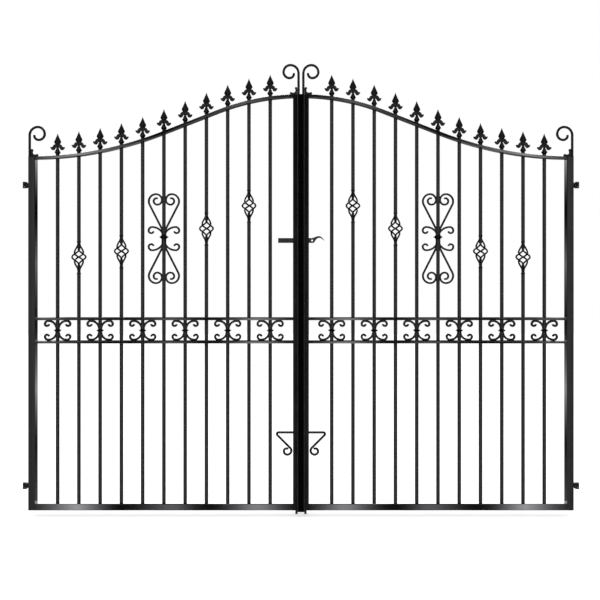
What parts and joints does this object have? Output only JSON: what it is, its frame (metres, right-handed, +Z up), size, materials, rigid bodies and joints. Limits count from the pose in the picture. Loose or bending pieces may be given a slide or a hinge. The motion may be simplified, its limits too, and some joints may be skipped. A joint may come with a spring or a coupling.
{
  "type": "pair of metal driveway gate leaves",
  "caption": "Pair of arched steel driveway gate leaves with spear finials, twisted baskets, scroll panels, drop bolts, a lift latch and pillar hinges.",
  "frame": {"origin": "centre of the lower left hinge bracket's flat face, where it meets the pillar", "axes": "+X to the right along the closed gate, +Z up, +Y behind the gate, the way the leaves open"},
  "size_m": [2.456, 0.0747, 1.9965],
  "materials": {
    "gloss_black_frame": "gloss black paint on mild steel box and flat bar",
    "gloss_black_bars": "gloss black paint on round steel bar",
    "gloss_black_castings": "gloss black paint on cast and forged ornaments",
    "gloss_black_hardware": "gloss black paint on hinges, latch and bolts",
    "black_strip": "black paint on flat steel strip"
  },
  "bodies": {
    "pillar_brackets": {"left_lower_hinge_bracket": "gloss_black_hardware", "left_upper_hinge_bracket": "gloss_black_hardware", "right_lower_hinge_bracket": "gloss_black_hardware", "right_upper_hinge_bracket": "gloss_black_hardware"},
    "left_leaf": {"left_outer_stile": "gloss_black_frame", "left_meeting_stile": "gloss_black_frame", "left_bottom_rail": "gloss_black_frame", "left_top_rail": "gloss_black_frame", "left_upper_mid_rail": "gloss_black_frame", "left_lower_mid_rail": "gloss_black_frame", "left_infill_bars": "gloss_black_bars", "left_finials": "gloss_black_castings", "left_baskets": "gloss_black_castings", "left_heart_scrolls": "gloss_black_castings", "left_band_scrolls": "gloss_black_castings", "left_outer_corner_scroll": "gloss_black_castings", "left_centre_corner_scroll": "gloss_black_castings", "left_corner_brackets": "gloss_black_castings", "left_hinge_eyes": "gloss_black_hardware", "left_bolt_guides": "gloss_black_hardware", "latch_keeper": "gloss_black_hardware"},
    "right_leaf": {"right_outer_stile": "gloss_black_frame", "right_meeting_stile": "gloss_black_frame", "right_bottom_rail": "gloss_black_frame", "right_top_rail": "gloss_black_frame", "right_upper_mid_rail": "gloss_black_frame", "right_lower_mid_rail": "gloss_black_frame", "right_infill_bars": "gloss_black_bars", "right_finials": "gloss_black_castings", "right_baskets": "gloss_black_castings", "right_heart_scrolls": "gloss_black_castings", "right_band_scrolls": "gloss_black_castings", "right_outer_corner_scroll": "gloss_black_castings", "right_centre_corner_scroll": "gloss_black_castings", "right_corner_brackets": "gloss_black_castings", "right_hinge_eyes": "gloss_black_hardware", "right_bolt_guides": "gloss_black_hardware", "cover_strip": "black_strip", "strip_packers": "gloss_black_frame", "latch_pivot": "gloss_black_hardware"},
    "latch": {"latch_lever": "gloss_black_hardware"},
    "left_bolt": {"left_drop_bolt": "gloss_black_hardware"},
    "right_bolt": {"right_drop_bolt": "gloss_black_hardware"}
  },
  "joints": [
    {"name": "left_leaf_hinge", "type": "hinge", "parent": "pillar_brackets", "child": "left_leaf", "pos_m": [0.015, 0, 0], "axis": [0, 0, 1], "range_deg": [0, 90]},
    {"name": "right_leaf_hinge", "type": "hinge", "parent": "pillar_brackets", "child": "right_leaf", "pos_m": [2.441, 0, 0], "axis": [0, 0, -1], "range_deg": [0, 90]},
    {"name": "latch_lift", "type": "hinge", "parent": "right_leaf", "child": "latch", "pos_m": [1.248, 0.028, 1.0835], "axis": [0, 1, 0], "range_deg": [0, 90]},
    {"name": "left_bolt_slide", "type": "slide", "parent": "left_leaf", "child": "left_bolt", "axis": [0, 0, 1], "range_m": [0, 0.06]},
    {"name": "right_bolt_slide", "type": "slide", "parent": "right_leaf", "child": "right_bolt", "axis": [0, 0, 1], "range_m": [0, 0.06]}
  ]
}
